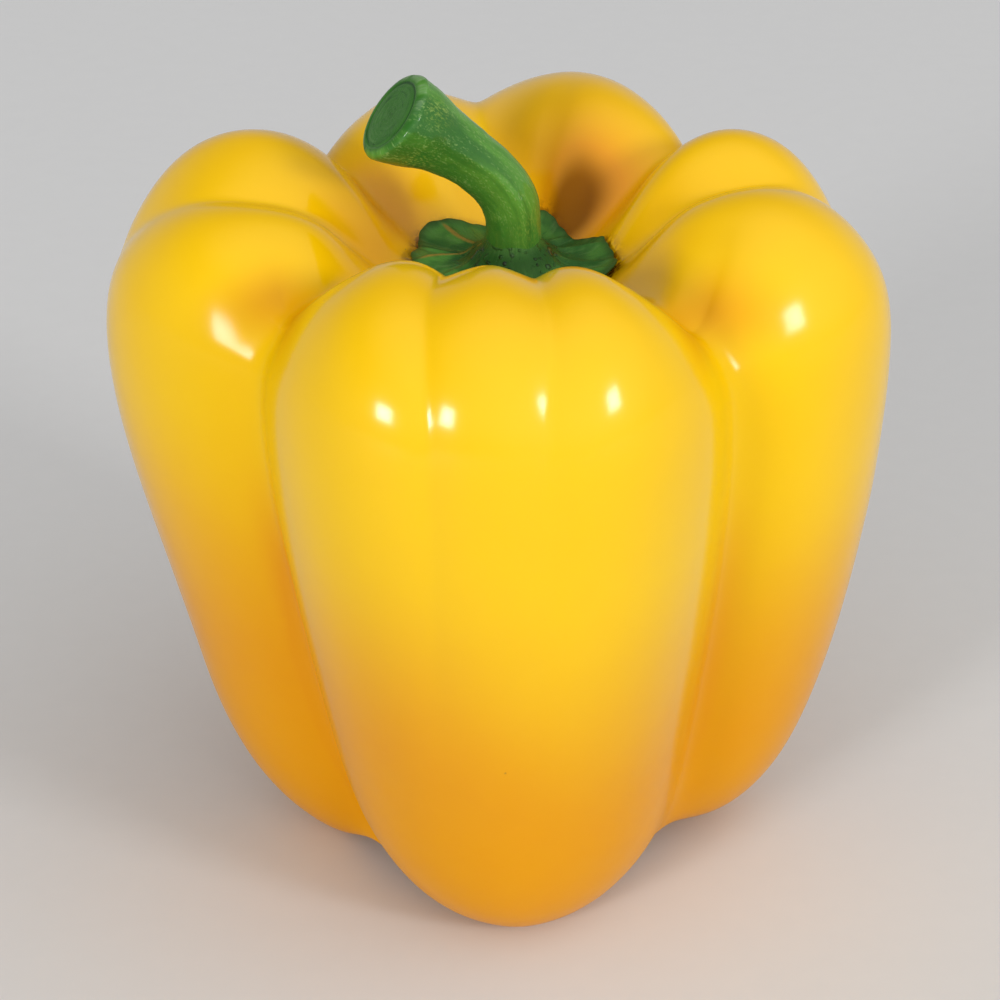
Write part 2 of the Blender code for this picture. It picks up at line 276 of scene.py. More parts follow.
def smooth_line(points, position):
    """Natural cubic spline through points at 0, 1, 2 and so on, read at the positions."""
    knots = np.asarray(points, float)
    count = len(knots)
    left = np.eye(count)
    right = np.zeros_like(knots)
    for i in range(1, count - 1):
        left[i, i - 1:i + 2] = (1, 4, 1)
        right[i] = 6 * (knots[i - 1] - 2 * knots[i] + knots[i + 1])
    bend = np.linalg.solve(left, right)
    index = np.clip(np.floor(position).astype(int), 0, count - 2)
    after = (position - index)[:, None]
    before = 1 - after
    straight = knots[index] * before + knots[index + 1] * after
    curved = bend[index] * (before**3 - before) + bend[index + 1] * (after**3 - after)
    return straight + curved / 6


def eased(stations, values, position):
    """Cubic interpolation that never overshoots the values."""
    stations = np.asarray(stations, float)
    values = np.asarray(values, float)
    slope = np.diff(values) / np.diff(stations)
    same_way = slope[:-1] * slope[1:] > 0
    total = np.where(same_way, slope[:-1] + slope[1:], 1)
    tangent = np.zeros_like(values)
    tangent[1:-1] = np.where(same_way, 2 * slope[:-1] * slope[1:] / total, 0)
    index = np.clip(np.searchsorted(stations, position, side="right") - 1, 0, len(stations) - 2)
    span = stations[index + 1] - stations[index]
    t = np.clip((position - stations[index]) / span, 0, 1)
    return (
        (2 * t**3 - 3 * t**2 + 1) * values[index]
        + (t**3 - 2 * t**2 + t) * span * tangent[index]
        + (3 * t**2 - 2 * t**3) * values[index + 1]
        + (t**3 - t**2) * span * tangent[index + 1]
    )


def around(azimuths, values, azimuth):
    """The same interpolation, closed round the full turn."""
    turned = (azimuth - azimuths[0]) % 360 + azimuths[0]
    stations = [a + turn for turn in (-360, 0, 360) for a in azimuths]
    return eased(stations, list(values) * 3, turned)


def lobe_shift(name, azimuth):
    """A shift of the lobes, smooth from each to the next."""
    shifts = [getattr(lobe, name) for lobe in LOBES]
    return around([lobe.azimuth for lobe in LOBES], shifts, azimuth)


def groove_depth(groove, azimuth, station, radius):
    """How far the groove lies below the profile, square to it."""
    line = eased(AZIMUTH_STATIONS, groove.azimuth, station)
    aside = (azimuth - line + 180) % 360 - 180
    softness = eased(SOFTNESS_STATIONS, groove.softness, station)
    soft = np.degrees(softness / np.maximum(radius - GROOVE_FLOOR, GROOVE_FLOOR))
    distance = np.sqrt(aside**2 + soft**2) - soft
    reach_down = eased(REACH_STATIONS, groove.reach_down, station)
    reach_up = eased(REACH_STATIONS, groove.reach_up, station)
    reach = np.where(aside < 0, reach_down, reach_up)
    fade = np.clip(1 - distance / reach, 0, None) ** 2
    return eased(DEPTH_STATIONS, groove.depth, station) * fade


def fruit_surface(azimuth, station):
    """Radius and height of the skin and the depths of the grooves and creases there."""
    shape = np.shape(azimuth)
    azimuth = np.ravel(azimuth).astype(float)
    station = np.ravel(station).astype(float)
    middle = smooth_line(PROFILE, station)
    step = 0.001
    ahead = smooth_line(PROFILE, np.clip(station + step, 0, LAST_STATION))
    behind = smooth_line(PROFILE, np.clip(station - step, 0, LAST_STATION))
    along = ahead - behind
    along /= np.linalg.norm(along, axis=1)[:, None]
    radius = middle[:, 0].copy()
    height = middle[:, 1].copy()
    height += lobe_shift("crest_up", azimuth) * eased(*CREST_LIFT, station)
    for name, weights in OUTWARD_SHIFTS:
        radius += lobe_shift(name, azimuth) * eased(*weights, station)
    deep, shallow = (
        sum(groove_depth(groove, azimuth, station, middle[:, 0]) for groove in grooves)
        for grooves in (DEEP_GROOVES, CREASES)
    )
    radius += (deep + shallow) * along[:, 1]
    height -= (deep + shallow) * along[:, 0]
    # The feet of the lobes are pressed flat where they rest
    height = np.maximum(height, 0)
    return [part.reshape(shape) for part in (radius, height, deep, shallow)]


def well_floor(x, y):
    """Height of the skin in the stem well under points measured from the fruit's axis."""
    azimuth = np.degrees(np.arctan2(x, -y))
    distance = np.hypot(x, y)
    near = np.zeros_like(distance)
    far = np.full_like(distance, CREST_STATION)
    for _ in range(HALVINGS):
        middle = (near + far) / 2
        short = fruit_surface(azimuth, middle)[0] < distance
        near = np.where(short, middle, near)
        far = np.where(short, far, middle)
    return fruit_surface(azimuth, near)[1]


def profile_rows(count):
    """Stations of the rows, closer together where the profile turns."""
    fine = np.linspace(0, LAST_STATION, SAMPLES)
    step = np.diff(smooth_line(PROFILE, fine), axis=0)
    length = np.linalg.norm(step, axis=1)
    heading = np.unwrap(np.arctan2(step[:, 1], step[:, 0]))
    turn = np.degrees(np.abs(np.gradient(heading)))
    weight = np.concatenate([[0], np.cumsum(length / ROW_LENGTH + turn / ROW_TURN)])
    return np.interp(np.linspace(0, weight[-1], count + 1), weight, fine)


def show(name, data):
    item = bpy.data.objects.new(name, data)
    bpy.context.scene.collection.objects.link(item)
    return item


def add_mark(data, name, values):
    """Keeps a number for each point of a mesh, which finishes and trees read by its name."""
    layer = data.attributes.new(name, "FLOAT", "POINT")
    layer.data.foreach_set("value", values.astype("f"))


def ring_mesh(name, first, rings, last, marks):
    """Closed smooth mesh from a point through rings to a point, in millimetres.

    marks maps a name to the values at the first point, on the rings and at the last point.
    """
    rows, columns = rings.shape[:2]
    points = np.concatenate([[first], rings.reshape(-1, 3), [last]]) + AXIS
    ring = np.arange(columns)
    after = (ring + 1) % columns
    faces = [(0, 1 + j, 1 + i) for i, j in zip(ring, after)]
    for row in range(rows - 1):
        upper = 1 + row * columns
        lower = upper + columns
        faces += [(upper + i, upper + j, lower + j, lower + i) for i, j in zip(ring, after)]
    end = 1 + (rows - 1) * columns
    faces += [(end + i, end + j, len(points) - 1) for i, j in zip(ring, after)]
    data = bpy.data.meshes.new(name)
    data.from_pydata((points * MM).tolist(), [], faces)
    for mark, (start, values, finish) in marks.items():
        add_mark(data, mark, np.concatenate([[start], np.ravel(values), [finish]]))
    data.shade_smooth()
    return show(name, data)


class Link:
    """An output socket in Python sums: each operator adds its Math node."""

    def __init__(self, graph, socket):
        self.graph = graph
        self.socket = socket

    def maths(self, operation, *values):
        return self.graph.node("ShaderNodeMath", {"operation": operation}, dict(enumerate(values)))

    def __add__(self, other):
        return self.maths("ADD", self, other)

    __radd__ = __add__

    def __sub__(self, other):
        return self.maths("SUBTRACT", self, other)

    def __rsub__(self, other):
        return self.maths("SUBTRACT", other, self)

    def __mul__(self, other):
        return self.maths("MULTIPLY", self, other)

    __rmul__ = __mul__

    def __rtruediv__(self, other):
        return self.maths("DIVIDE", other, self)

    def from_to(self, low, high, start=0.0, end=1.0):
        """Runs smoothly from start at low to end at high."""
        return self.graph.node(
            "ShaderNodeMapRange",
            {"interpolation_type": "SMOOTHSTEP"},
            {"Value": self, "From Min": low, "From Max": high, "To Min": start, "To Max": end},
        )


class Graph:
    """Adds nodes to a shader or geometry tree and links them."""

    def __init__(self, tree):
        self.tree = tree

    def node(self, kind, settings=None, sockets=None, output=0):
        item = self.tree.nodes.new(kind)
        for name, value in (settings or {}).items():
            setattr(item, name, value)
        for name, value in (sockets or {}).items():
            self.feed(item.inputs[name], value)
        return Link(self, item.outputs[output]) if item.outputs else item

    def feed(self, socket, value):
        if isinstance(value, Link):
            self.tree.links.new(value.socket, socket)
        else:
            socket.default_value = value

    def mix(self, factor, first, second):
        """Blend of two colours."""
        sockets = {0: factor, 6: rgba(first), 7: rgba(second)}
        return self.node("ShaderNodeMix", {"data_type": "RGBA"}, sockets, output=2)

    def vector(self, operation, *values, **named):
        sockets = {**dict(enumerate(values)), **named}
        output = 1 if operation in ("DOT_PRODUCT", "DISTANCE") else 0
        return self.node("ShaderNodeVectorMath", {"operation": operation}, sockets, output)

    def layers(self, colour, *over):
        """Lays colours over one another, each as (amount, colour)."""
        for amount, next_colour in over:
            colour = self.mix(amount, colour, next_colour)
        return colour

    def combine(self, x, y, z):
        return self.node("ShaderNodeCombineXYZ", None, {0: x, 1: y, 2: z})

    def split(self, vector):
        """The three numbers of a vector."""
        item = self.node("ShaderNodeSeparateXYZ", None, {0: vector}).socket.node
        return [Link(self, socket) for socket in item.outputs]

    def waves(self, place, seed, size, detail):
        """Noise about 0, seldom past 1 either way."""
        sockets = {"Vector": place, "W": seed, "Scale": 1 / size, "Detail": detail}
        noise = self.node("ShaderNodeTexNoise", {"noise_dimensions": "4D"}, sockets)
        return (noise - 0.5) * 2

    def named(self, name, kind="FLOAT"):
        """In a geometry tree, what is kept for each point under the name."""
        return self.node("GeometryNodeInputNamedAttribute", {"data_type": kind}, {"Name": name})


def rgba(colour):
    return colour if isinstance(colour, Link) else (*tuple(colour)[:3], 1.0)


class Finish(Graph):
    """A material's shader tree with one Principled shader."""

    def __init__(self, name, **constants):
        self.material = bpy.data.materials.new(name)
        self.material.use_nodes = True
        super().__init__(self.material.node_tree)
        self.shader = self.tree.nodes["Principled BSDF"]
        for socket, value in constants.items():
            self.shader.inputs[socket.replace("_", " ")].default_value = value
        self.place = self.node("ShaderNodeTexCoord", output="Object")
        self.x, _, self.z = self.split(self.place)

    def mark(self, name, output="Fac"):
        return self.node("ShaderNodeAttribute", {"attribute_name": name}, output=output)

    def noise(self, size, place=None, detail=2.0, rough=0.5):
        """Noise from 0 to 1 with features of the given size in metres."""
        where = place or self.place
        sockets = {"Vector": where, "Scale": 1 / size, "Detail": detail, "Roughness": rough}
        return self.node("ShaderNodeTexNoise", None, sockets)

    def near(self, x, y, z, reach):
        """1 at a point given in metres, falling to 0 at the reach."""
        return self.vector("DISTANCE", self.place, (x, y, z)).from_to(0.0, reach, 1.0, 0.0)

    def bump(self, height, distance, under=None):
        sockets = {"Height": height, "Distance": distance, "Strength": 1.0}
        if under:
            sockets["Normal"] = under
        return self.node("ShaderNodeBump", None, sockets)

    def use(self, **links):
        for socket, value in links.items():
            self.feed(self.shader.inputs[socket.replace("_", " ")], value)
        return self.material


def new_tree(name, numbers, whole_numbers=()):
    """Empty geometry tree with named inputs, as (graph, inputs by name)."""
    tree = bpy.data.node_groups.new(name, "GeometryNodeTree")
    tree.interface.new_socket("Geometry", in_out="OUTPUT", socket_type="NodeSocketGeometry")
    kinds = {
        "Geometry": "Geometry",
        "Material": "Material",
        **dict.fromkeys(numbers, "Float"),
        **dict.fromkeys(whole_numbers, "Int"),
    }
    for label, kind in kinds.items():
        tree.interface.new_socket(label, in_out="INPUT", socket_type="NodeSocket" + kind)
    graph = Graph(tree)
    source = tree.nodes.new("NodeGroupInput")
    return graph, {label: Link(graph, source.outputs[label]) for label in kinds}


def end_tree(graph, given, geometry):
    """Ends a tree: smooth, instances made real, material set."""
    smooth = graph.node("GeometryNodeSetShadeSmooth", None, {"Geometry": geometry})
    real = graph.node("GeometryNodeRealizeInstances", None, {"Geometry": smooth})
    sockets = {"Geometry": real, "Material": given["Material"]}
    finished = graph.node("GeometryNodeSetMaterial", None, sockets)
    graph.feed(graph.tree.nodes.new("NodeGroupOutput").inputs[0], finished)
    return graph.tree


def run_tree(item, tree, values):
    """Runs a tree on an object and keeps the result as its plain mesh."""
    modifier = item.modifiers.new(tree.name, "NODES")
    modifier.node_group = tree
    for socket in tree.interface.items_tree:
        if socket.in_out == "INPUT" and socket.name in values:
            modifier[socket.identifier] = values[socket.name]
    view = bpy.context.evaluated_depsgraph_get()
    finished = bpy.data.meshes.new_from_object(item.evaluated_get(view))
    item.modifiers.remove(modifier)
    finished.name = item.name
    item.data = finished
    return item


def relief_tree():
    """Raises and lowers a surface by noise, as far as the mark named relief lets it."""
    graph, given = new_tree("Surface relief", ("Height", "Size", "Seed"))
    position = graph.node("GeometryNodeInputPosition")
    waves = graph.waves(position, given["Seed"], given["Size"], 1.5)
    amount = waves * given["Height"] * graph.named("relief")
    offset = graph.vector("SCALE", graph.node("GeometryNodeInputNormal"), Scale=amount)
    sockets = {"Geometry": given["Geometry"], "Offset": offset}
    moved = graph.node("GeometryNodeSetPosition", None, sockets)
    return end_tree(graph, given, moved)


def stalk_tree():
    """Sweeps a ring along the stalk's centre line, with low ridges and a leaning, dished cut."""
    graph, given = new_tree(
        "Stalk sweep",
        ("Ridges", "Ridge Height", "Relief Height", "Relief Size", "Girth", "Seed"),
        ("Sides",),
    )

    def store(geometry, name, value, kind="FLOAT_VECTOR"):
        sockets = {"Geometry": geometry, "Name": name, "Value": value}
        return graph.node("GeometryNodeStoreNamedAttribute", {"data_type": kind}, sockets)

    position = graph.node("GeometryNodeInputPosition")
    path = graph.node("GeometryNodeMeshToCurve", None, {"Mesh": given["Geometry"]})
    path = store(path, "centre", position)
    path = store(path, "ahead", graph.node("GeometryNodeInputTangent"))
    length = graph.node("GeometryNodeSplineParameter", output="Length")
    path = store(path, "along", length, "FLOAT")
    ring = graph.node(
        "GeometryNodeCurvePrimitiveCircle", None, {"Resolution": given["Sides"], "Radius": 1.0}
    )
    ring = store(ring, "round", position)
    swept = graph.node(
        "GeometryNodeCurveToMesh",
        None,
        {"Curve": path, "Profile Curve": ring, "Scale": graph.named("size"), "Fill Caps": True},
    )
    away = graph.vector("SUBTRACT", position, graph.named("centre", "FLOAT_VECTOR"))
    outward = graph.vector("NORMALIZE", away)
    across, beside, _ = graph.split(graph.named("round", "FLOAT_VECTOR"))
    angle = beside.maths("ARCTAN2", beside, across)
    along = graph.named("along")
    side = 1 - graph.named("cut")
    waves = graph.waves(position, given["Seed"], given["Relief Size"], 2.0)
    ridge = angle.maths("SINE", angle * given["Ridges"] + along * RIDGE_TWIST)
    rise = ridge * given["Ridge Height"] * side
    rise = rise + waves * given["Relief Height"] * graph.named("relief")
    _, _, above = graph.split(away)
    step = graph.named("dish") - above * graph.named("lean")
    offset = graph.vector(
        "ADD",
        graph.vector("SCALE", outward, Scale=rise),
        graph.vector("SCALE", graph.named("ahead", "FLOAT_VECTOR"), Scale=step),
    )
    shaped = graph.node("GeometryNodeSetPosition", None, {"Geometry": swept, "Offset": offset})
    grain = graph.combine(across * given["Girth"], beside * given["Girth"], along)
    upward = graph.vector("DOT_PRODUCT", graph.node("GeometryNodeInputNormal"), (0, 0, 1))
    shaped = store(store(shaped, "grain", grain), "upward", upward, "FLOAT")
    return end_tree(graph, given, shaped)


def fleck_tree():
    """Scatters small flat flecks over a surface, thickest where its mark named flecks is high."""
    graph, given = new_tree("Flecks", ("Per Square Metre", "Size", "Flatness"), ("Seed",))
    spread = graph.node(
        "GeometryNodeDistributePointsOnFaces",
        {"distribute_method": "RANDOM"},
        {
            "Mesh": given["Geometry"],
            "Density": given["Per Square Metre"] * graph.named("flecks"),
            "Seed": given["Seed"],
        },
    )
    turn = Link(graph, spread.socket.node.outputs["Rotation"])
    fleck = graph.node("GeometryNodeMeshIcoSphere", None, {"Radius": 1.0, "Subdivisions": 2})
    sockets = {2: 0.45, 3: 1.0, "Seed": given["Seed"]}
    random = graph.node("FunctionNodeRandomValue", {"data_type": "FLOAT"}, sockets, output=1)
    size = given["Size"] * random * random
    scale = graph.combine(size, size * 0.75, size * given["Flatness"])
    placed = graph.node(
        "GeometryNodeInstanceOnPoints",
        None,
        {"Points": spread, "Instance": fleck, "Rotation": turn, "Scale": scale},
    )
    return end_tree(graph, given, placed)


def skin_finish(settings):
    """Glossy skin: yellow above, orange below, in the grooves and down in the well, with the
    stalk's shadow painted brown in the well.
    """
    skin = Finish(
        "pepper_skin",
        Coat_Roughness=settings.gloss_roughness,
        Coat_IOR=1.45,
        Specular_IOR_Level=0.03,
    )
    broad = skin.noise(0.03, detail=1.0)
    fine = skin.noise(0.0045, detail=3.0)
    # Orange from 64 mm down to 24 mm, higher up on the left than on the right
    side = skin.x.from_to(-0.014, 0.012, 0.006, -0.003)
    low = (skin.z - side + (broad - 0.5) * 0.010).from_to(0.024, 0.064, 1.0, 0.0)
    groove = skin.mark("groove")
    blush = skin.mark("blush")
    valley = groove.from_to(0.0095, 0.0135) * skin.z.from_to(0.045, 0.066, 0.6, 0.0)
    valley = valley + groove.from_to(0.0055, 0.012) * skin.z.from_to(0.075, 0.082, 0.0, 0.9)
    crest = skin.z.from_to(0.080, 0.092)
    orange = low * 0.95 + valley + skin.mark("well") * 0.32 + blush + crest * 0.12
    # Painted shadow: where the well's tones are strongest they turn brown, as the stalk's cast
    # shadow
    dark = blush.from_to(0.75, 1.5)
    stain = skin.mark("hem") * skin.noise(0.0007, detail=3.0).from_to(0.40, 0.56)
    colour = skin.layers(
        settings.yellow,
        (orange + (fine - 0.5) * 0.08, settings.orange),
        (dark * 0.85, settings.stain_and_shadow_brown),
        (stain, settings.stain_and_shadow_brown),
    )
    gloss = groove.from_to(0.004, 0.011, 0.86, 0.45) * skin.z.from_to(0.004, 0.056, 0.3, 1.0)
    gloss = gloss * (1 - dark * 0.8)
    peel = skin.bump(skin.noise(0.0014, detail=1.0), 0.000008)
    return skin.use(
        Base_Color=colour,
        Roughness=0.34 + (fine - 0.5) * 0.10 + valley * 0.05,
        Coat_Weight=gloss - (skin.noise(0.002, detail=2.0) - 0.5) * 0.1,
        Normal=skin.bump(skin.noise(0.009, detail=2.0), 0.00010, under=peel),
    )


def stalk_finish(settings):
    """Dabbed and brushed greens along the stalk, mossy mottles, painted shade under it and at its
    foot, a painted sheen along its top, and a darker cut with a crease in painted shade.
    """
    stalk = Finish("stalk_green", Coat_Roughness=0.12, Coat_IOR=1.5, Specular_IOR_Level=0.1)
    grain = stalk.mark("grain", "Vector")
    cut = stalk.mark("cut")
    part = stalk.mark("part")
    upward = stalk.mark("upward")
    # Features are drawn out along the stalk
    short = stalk.vector("MULTIPLY", grain, (1.0, 1.0, 0.42))
    long = stalk.vector("MULTIPLY", grain, (1.0, 1.0, 0.12))
    dab = stalk.noise(0.00020, short, detail=3.0, rough=0.6)
    streak = stalk.noise(0.0007, long, detail=3.0, rough=0.55)
    band = stalk.noise(0.0030, long, detail=2.0)
    patch = stalk.noise(0.0040, detail=2.0)
    # Painted sheen: a pale painted reflection along the top of the stalk
    sheen = upward.from_to(0.62, 0.88) * streak.from_to(0.42, 0.58)
    moss = sum((stalk.near(*spot) for spot in MOSS_SPOTS), patch.from_to(0.56, 0.70) * 0.25)
    # Painted shade at the stalk's foot, strongest on its left side
    foot = stalk.mark("along").from_to(0.0008, 0.0075, 0.9, 0.0)
    skin = stalk.layers(
        settings.stalk_dark,
        (band.from_to(0.38, 0.60), settings.stalk_green),
        (streak.from_to(0.50, 0.36) * 0.35, settings.stalk_dark),
        # Painted shade: the underside of the stalk is darker
        (upward.from_to(0.15, -0.6) * 0.8, settings.stalk_dark),
        (dab.from_to(0.50, 0.68) * streak.from_to(0.40, 0.56) * 0.6, settings.stalk_pale),
        (sheen * 0.4, settings.stalk_painted_sheen),
        (moss * dab.from_to(0.42, 0.66) * 0.5, settings.moss),
        (foot * stalk.x.from_to(0.0012, 0.0034, 1.0, 0.35), settings.stalk_dark),
    )
    # On the cut, faint arcs follow the rim, paler on the left as painted light, and a dark crease
    # runs inside it, its painted shade strongest on the right
    flat = stalk.vector("MULTIPLY", grain, (0.16, 0.16, 0.0))
    ringed = stalk.vector("ADD", flat, stalk.combine(0.0, 0.0, part * 0.008))
    arcs = stalk.noise(0.0005, ringed, detail=3.0)
    left = stalk.x.from_to(-0.0150, -0.0115, 1.0, 0.35)
    crease = part.from_to(0.70, 0.76) * part.from_to(0.76, 0.81, 1.0, 0.0)
    crease = crease * stalk.x.from_to(-0.0135, -0.0105, 0.15, 1.0)
    face = stalk.layers(
        settings.cut_green,
        (arcs.from_to(0.45, 0.68) * left * 0.5, settings.cut_rim),
        (arcs.from_to(0.45, 0.30) * 0.7, settings.cut_dark),
        (crease * 0.9, settings.cut_dark),
        (part.from_to(0.78, 0.92), skin),
    )
    return stalk.use(
        Base_Color=stalk.mix(cut, skin, face),
        Roughness=0.42 - (streak - 0.5) * 0.25,
        Coat_Weight=(0.55 + (patch - 0.5) * 0.8) * (1 - cut * 0.85),
        Normal=stalk.bump(dab * 0.6 + streak * 0.25, 0.00012),
    )


def calyx_finish(settings):
    """Dark green leaf with radiating brush lines, tan veins, beads of varnish at its foot and
    painted shade in the hollow there.
    """
    leaf = Finish("calyx_green", Coat_Roughness=0.08, Coat_IOR=1.5, Specular_IOR_Level=0.1)
    stretched = leaf.vector("MULTIPLY", leaf.mark("grain", "Vector"), (1.0, 1.0, 0.16))
    streak = leaf.noise(0.0007, stretched, detail=4.0, rough=0.6)
    patch = leaf.noise(0.004, detail=2.0)
    fleck = leaf.noise(0.0005, detail=3.0, rough=0.65)
    vein = leaf.mark("vein").from_to(0.2, 0.8) * fleck.from_to(0.25, 0.5, 0.6, 1.0)
    wet = leaf.mark("wet")
    colour = leaf.layers(
        settings.calyx_dark,
        (patch.from_to(0.38, 0.62), settings.calyx_green),
        (streak.from_to(0.50, 0.70) * 0.5, settings.calyx_pale),
        (streak.from_to(0.46, 0.34) * 0.5, settings.calyx_dark),
        (vein, settings.vein_tan),
        (leaf.mark("rim") * 0.7, settings.calyx_rim),
        # Painted shade in the hollow round the stalk's foot
        (wet * 0.9, settings.hollow_shade),
        (leaf.near(*LEAF_NICK) * 0.95, settings.calyx_rim),
    )
    bead = leaf.noise(0.0007, detail=0.0).from_to(0.56, 0.86) * wet
    brushed = streak * 0.7 + fleck * 0.6
    return leaf.use(
        Base_Color=colour,
        Roughness=0.45 - (streak - 0.5) * 0.2,
        Coat_Weight=0.10 + bead * 0.8,
        Normal=leaf.bump(brushed, 0.00016, under=leaf.bump(bead, 0.0008)),
    )


def speck_finish(settings):
    """Dull brown-black flecks."""
    speck = Finish("speck_brown")
    grain = speck.noise(0.0003, detail=2.0)
    colour = speck.mix(grain.from_to(0.3, 0.7), settings.speck_dark, settings.speck_light)
    return speck.use(Base_Color=colour, Roughness=0.55 + (grain - 0.5) * 0.2)


def scar_finish(settings):
    """Dry corky scar with rays."""
    scar = Finish("scar_cork")
    grain = scar.noise(0.0006, detail=4.0, rough=0.6)
    colour = scar.mix(grain.from_to(0.3, 0.7), settings.speck_light, settings.scar_tan)
    rough = 0.75 + (grain - 0.5) * 0.2
    return scar.use(Base_Color=colour, Roughness=rough, Normal=scar.bump(grain, 0.0002))


def floor_finish(settings):
    """Pale matt paper floor."""
    floor = Finish("paper_floor")
    grain = floor.noise(0.004, detail=3.0)
    darker = [0.97 * part for part in settings.floor_colour]
    colour = floor.mix(grain, settings.floor_colour, darker)
    return floor.use(Base_Color=colour, Roughness=0.75 + (grain - 0.5) * 0.1)


def number(name, description, default, **kind):
    return FloatProperty(name=name, description=description, default=default, **kind)


def metres(name, description, default):
    return number(name, description, default, subtype="DISTANCE", unit="LENGTH", precision=5)


def whole(name, description, default):
    return IntProperty(name=name, description=description, default=default)


def tint(name, description, default):
    return FloatVectorProperty(
        name=name, description=description, default=default, subtype="COLOR", min=0.0, max=1.0
    )


class SkinSettings(bpy.types.PropertyGroup):
    """Sizes and colours of the fruit's skin."""

    columns: whole("Columns", "Faces around the fruit", 500)
    rows: whole("Rows", "Faces from the stem to the blossom end", 195)
    dent_height: metres("Dent height", "How far the skin is uneven", 0.00007)
    dent_size: metres("Dent size", "Length of the soft dents", 0.012)
    gloss_roughness: number("Gloss roughness", "How wide highlights spread", 0.15)
    yellow: tint("Yellow", "Skin over the shoulders", (0.95, 0.575, 0.0))
    orange: tint("Orange", "Skin low down and in the grooves", (0.80, 0.325, 0.0))
    # Brown of the stain beside the calyx and of the stalk's painted shadow in the well
    stain_and_shadow_brown: tint("Well brown", "Stain beside the calyx", (0.25, 0.08, 0.0))
    speck_dark: tint("Dark speck", "Darker tone of the specks", (0.05, 0.015, 0.004))
    speck_light: tint("Light speck", "Lighter tone of the specks", (0.16, 0.06, 0.012))
    scar_tan: tint("Scar tan", "Dry tissue of the blossom scar", (0.36, 0.2, 0.06))
    specks: number("Specks", "Specks per square metre", 2600.0)
    speck_size: metres("Speck size", "Radius of the largest specks", 0.00022)


class GreenSettings(bpy.types.PropertyGroup):
    """Sizes and colours of the calyx and the stalk."""

    stalk_sides: whole("Stalk sides", "Faces around the stalk", 144)
    stalk_step: metres("Stalk step", "Length of the faces along the stalk", 0.00025)
    ridges: whole("Ridges", "Low ridges around the stalk", 5)
    ridge_height: metres("Ridge height", "How far the ridges stand out", 0.00007)
    relief_height: metres("Relief height", "Unevenness of the greens", 0.00008)
    relief_size: metres("Relief size", "Length of the unevenness", 0.0016)
    stalk_green: tint("Stalk green", "Main green of the stalk", (0.10, 0.30, 0.035))
    stalk_dark: tint("Stalk dark", "Dark green of the stalk", (0.032, 0.15, 0.018))
    stalk_pale: tint("Stalk pale", "Pale brushed streaks", (0.24, 0.42, 0.12))
    # Colour of the painted reflection along the top of the stalk
    stalk_painted_sheen: tint("Stalk sheen", "Pale reflection along the top of the stalk", (0.30, 0.42, 0.26))
    moss: tint("Moss", "Yellow-green mottling", (0.27, 0.40, 0.05))
    cut_green: tint("Cut green", "Middle of the cut end", (0.040, 0.16, 0.02))
    cut_dark: tint("Cut dark", "Crease of the cut end", (0.012, 0.06, 0.012))
    cut_rim: tint("Cut rim", "Rim of the cut end", (0.11, 0.25, 0.07))
    calyx_green: tint("Calyx green", "Main green of the calyx", (0.075, 0.22, 0.035))
    calyx_dark: tint("Calyx dark", "Blue-dark green of the calyx", (0.030, 0.115, 0.020))
    calyx_pale: tint("Calyx pale", "Brush lines of the calyx", (0.13, 0.27, 0.07))
    calyx_rim: tint("Calyx rim", "Edge of the calyx", (0.03, 0.06, 0.010))
    # Colour of the painted shade in the hollow round the stalk's foot
    hollow_shade: tint("Foot dark", "Hollow round the stalk's foot", (0.018, 0.075, 0.010))
    vein_tan: tint("Vein tan", "Tan veins of the calyx", (0.28, 0.20, 0.03))


class StageSettings(bpy.types.PropertyGroup):
    """Camera, floor and lights."""

    floor_colour: tint("Floor", "Colour of the floor", (0.74, 0.74, 0.74))
    floor_size: metres("Floor size", "Side of the floor", 6.0)
    lens: number("Lens", "Focal length in millimetres", 118.8)
    key_power: number("Key power", "Left softbox", 18.5, subtype="POWER")
    fill_power: number("Fill power", "Right softbox", 15.0, subtype="POWER")
    low_light: number("Wall light", "Light from low around", 0.5)
    high_light: number("Ceiling light", "Light from above", 0.2)
    patch_light: number("Patch light", "Soft patch overhead", 0.75)


def roughen(item, height, size, seed, material):
    """Gives a piece its relief and its material."""
    values = {"Height": height, "Size": size, "Seed": seed, "Material": material}
    return run_tree(item, relief_tree(), values)


